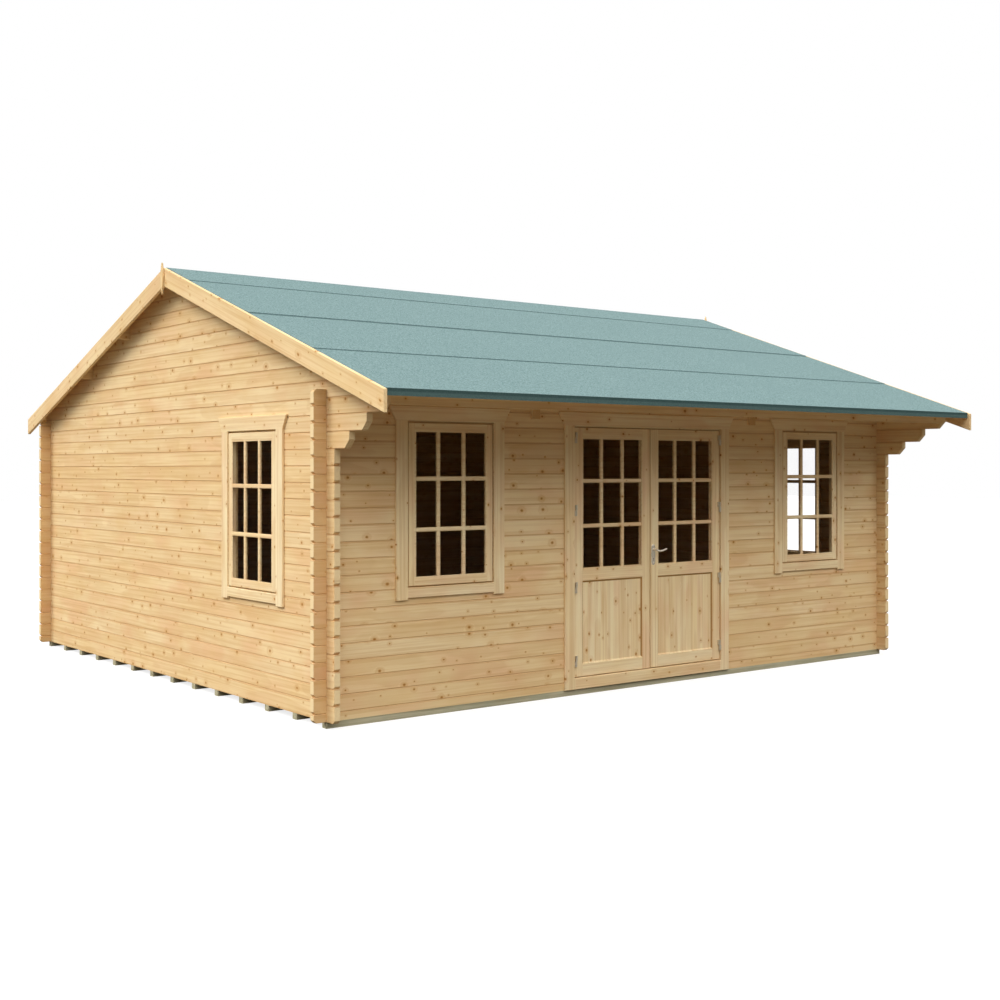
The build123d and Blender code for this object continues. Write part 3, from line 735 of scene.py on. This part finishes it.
def leverShape():
    # Lever: a round bar that leaves the plate square, turns level and hangs in a shallow wave.
    # Out goes as a sine over the first third, across as a power of (1 - cosine), then down by the sag x sine
    # and up by the lift x cube. Its end is rounded as a quarter circle.
    low, high = cornersOf("door_lever")
    plateLow, plateHigh = cornersOf("door_handle_plate")
    startX = float(plateLow[0] + plateHigh[0]) / 2
    startZ = float(high[2]) - leverSizes["margin"]
    rings, sides = leverSizes["rings"], leverSizes["sides"]
    go = np.linspace(0, 1, rings)
    turn = np.clip((go - leverSizes["straight"]) / (1 - leverSizes["straight"]), 0, 1)
    across = (float(high[0]) - startX) * (1 - np.cos(turn * math.pi / 2)) ** leverSizes["bend"]
    outShare = np.sin(np.clip(go / leverSizes["outBy"], 0, 1) * math.pi / 2)
    outwards = (high[1] - low[1] - leverSizes["margin"]) * outShare
    level = startZ - leverSizes["sag"] * np.sin(turn * math.pi) + leverSizes["lift"] * turn ** 3
    path = np.stack([startX + across, high[1] - outwards, level], -1)
    ahead = np.gradient(path, axis=0)
    ahead /= np.linalg.norm(ahead, axis=1)[:, None]
    upright = np.array([0.0, 0.0, 1.0]) - ahead * ahead[:, 2:]
    upright /= np.linalg.norm(upright, axis=1)[:, None]
    sideways = np.cross(ahead, upright)
    tall = leverSizes["neck"] + (leverSizes["tip"] - leverSizes["neck"]) * go
    beyond = ((go - leverSizes["roundFrom"]) / leverSizes["roundOver"]).clip(0)
    tall = tall * np.sqrt(np.clip(1 - beyond ** 2, 0.01, 1))
    deep = tall * (1 - (1 - leverSizes["flat"]) * turn)
    angle = np.linspace(0, 2 * math.pi, sides, endpoint=False)
    points = (path[:, None, :] + np.cos(angle)[None, :, None] * (deep[:, None] * sideways)[:, None, :]
              + np.sin(angle)[None, :, None] * (tall[:, None] * upright)[:, None, :])
    faces = gridFaces(rings, sides, loopColumns=True).tolist()
    faces += [list(range(sides)), list(range((rings - 1) * sides, rings * sides))]
    return points.reshape(-1, 3), faces


# A screw's low and high are its distances from the plate's two ends.
screwSizes = {"radius": 0.0035, "dome": 0.0022, "sunk": 0.0028, "low": 0.017, "high": 0.012,
              "rings": 7, "sides": 16}


def domeShape(centre, radius, height):
    # Low dome on an upright face: radius x sine of the angle across, height x its cosine outwards.
    rings, sides = screwSizes["rings"], screwSizes["sides"]
    ring = np.radians(np.linspace(4, 90, rings))[:, None]
    turn = np.linspace(0, 2 * math.pi, sides, endpoint=False)[None, :]
    x = centre[0] + radius * np.sin(ring) * np.cos(turn)
    z = centre[2] + radius * np.sin(ring) * np.sin(turn)
    y = centre[1] - height * np.cos(ring) + turn * 0
    faces = gridFaces(rings, sides, loopColumns=True).tolist() + [list(range(sides))]
    return np.stack([x, y, z], -1).reshape(-1, 3), faces


keySizes = {"wide": 0.0075, "tall": 0.021, "up": 0.052, "proud": 0.0003, "steps": 21}


def keyholeShape():
    # Round hole over a slot, as a thin dark inlay on the plate: painted shade in place of the hole.
    low, high = cornersOf("door_handle_plate")
    x, z = float(low[0] + high[0]) / 2, float(low[2]) + keySizes["up"]
    half, tall = keySizes["wide"] / 2, keySizes["tall"]
    angle = np.radians(np.linspace(-60, 240, keySizes["steps"]))
    points = [(half * math.cos(a), half * math.sin(a)) for a in angle]
    points += [(-half * 0.5, half - tall), (half * 0.5, half - tall)]
    face = high[1] - plateSizes["crown"] - keySizes["proud"]
    return np.array([(x + px, face, z + pz) for px, pz in points]), [list(range(len(points)))]


plateLow, plateHigh = cornersOf("door_handle_plate")
plateX = float(plateLow[0] + plateHigh[0]) / 2
plate = addPiece("handle_plate_chased", plateShape(), "right_leaf", satin, smooth=True)
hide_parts("door_handle_plate")
lever = addPiece("handle_lever_waved", leverShape(), "lever", satin, smooth=True)
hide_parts("door_lever")
# The keyhole's near-black colour is painted shade.
keyholeShadeMaterial = metalMaterial("keyholePaintedShade", "#1C1916", roughness=0.7)
addPiece("handle_keyhole", keyholeShape(), "right_leaf", keyholeShadeMaterial)
screwY = float(plateHigh[1]) - screwSizes["sunk"]
screws = [domeShape((plateX, screwY, height), screwSizes["radius"], screwSizes["dome"])
          for height in (float(plateLow[2]) + screwSizes["low"], float(plateHigh[2]) - screwSizes["high"])]
addPiece("handle_screws", joined(screws), "right_leaf", zinc, smooth=True)
print("handle made")

# Each rise of the sky's light starts and ends at these heights, as shares of the way straight up.
light = {"ring": 1.95, "ringRise": (0.1, 0.6), "overhead": -1.4, "overheadRise": (0.7, 0.95),
         "tint": (1.0, 0.985, 0.955, 1.0), "white": (1.0, 1.0, 1.0, 1.0), "sunColour": (1.0, 0.975, 0.93),
         "floorHalf": 60.0, "floorPale": "#8F8F8F", "floorDust": "#8A8A8A", "floorBounce": "#6E6A62",
         "floorGlow": 0.8}
# Each lamp: strength, the width of its disc in degrees, and the way its light travels.
lamps = {"keySun": (1.75, 30.0, (0.58, -0.40, -0.62)), "fillSun": (0.7, 35.0, (0.28, 0.50, -0.80))}


def studio():
    # Pale floor that is white where the camera sees it lit, and dull to the light that it throws back.
    shader = newShader("paleFloor")
    seen = shader.node("ShaderNodeLightPath", output="Is Camera Ray")
    x, y, z = shader.place()
    dust = shader.noise(shader.vector(x, y, z), scale=3.0, detail=2.0)
    pale = shader.mix(dust * 0.04, colour(light["floorPale"]), colour(light["floorDust"]))
    tone = shader.mix(seen, colour(light["floorBounce"]), pale)
    shader.finish(Base_Color=tone, Roughness=0.9, Specular_IOR_Level=0.0,
                  Emission_Color=light["white"], Emission_Strength=seen * light["floorGlow"])
    half = light["floorHalf"]
    corners = [(-half, -half, 0), (half, -half, 0), (half, half, 0), (-half, half, 0)]
    floor = bpy.data.meshes.new("studioFloor")
    floor.from_pydata(corners, [], [(0, 1, 2, 3)])
    floor.materials.append(shader.owner)
    ground = bpy.data.objects.new("studioFloor", floor)
    bpy.context.scene.collection.objects.link(ground)

    # Light from all round: none at the horizon, most of it half-way up, less overhead.
    # The camera itself sees plain white.
    world = bpy.data.worlds.new("studio")
    bpy.context.scene.world = world
    sky = Shader(world)
    direction = sky.node("ShaderNodeTexCoord", output="Generated")
    rise = sky.node("ShaderNodeSeparateXYZ", sockets={0: direction}).sibling("Z")
    ring = rise.smooth(*light["ringRise"]) * light["ring"]
    glow = ring + rise.smooth(*light["overheadRise"]) * light["overhead"]
    strength = glow.towards(1.0, sky.node("ShaderNodeLightPath"))
    tint = sky.mix(sky.node("ShaderNodeLightPath"), light["tint"], light["white"])
    background = sky.node("ShaderNodeBackground", sockets={"Color": tint, "Strength": strength})
    result = sky.tree.nodes.new("ShaderNodeOutputWorld")
    sky.tree.links.new(background.output, result.inputs["Surface"])

    for name, (energy, disc, travel) in lamps.items():
        sun = bpy.data.lights.new(name, "SUN")
        sun.energy, sun.angle, sun.color = energy, math.radians(disc), light["sunColour"]
        lamp = bpy.data.objects.new(name, sun)
        lamp.rotation_euler = (math.atan2(math.hypot(*travel[:2]), -travel[2]), 0.0,
                               math.atan2(travel[1], travel[0]) - math.pi / 2)
        bpy.context.scene.collection.objects.link(lamp)


def camera():
    # Level camera at the photograph's corner view; the shift puts the horizon above the middle.
    view = {"place": (-7.555, -10.152, 1.738), "turn": 37.73, "lens": 48.35, "sensor": 36.0,
            "shift": -0.0314}
    data = bpy.data.cameras.new("cornerView")
    data.lens, data.sensor_width, data.shift_y = view["lens"], view["sensor"], view["shift"]
    shot = bpy.data.objects.new("cornerView", data)
    shot.location = view["place"]
    shot.rotation_euler = (math.radians(90), 0.0, -math.radians(view["turn"]))
    bpy.context.scene.collection.objects.link(shot)
    bpy.context.scene.camera = shot


studio()
camera()
bpy.context.scene.view_settings.view_transform = "Standard"
print("scene made")
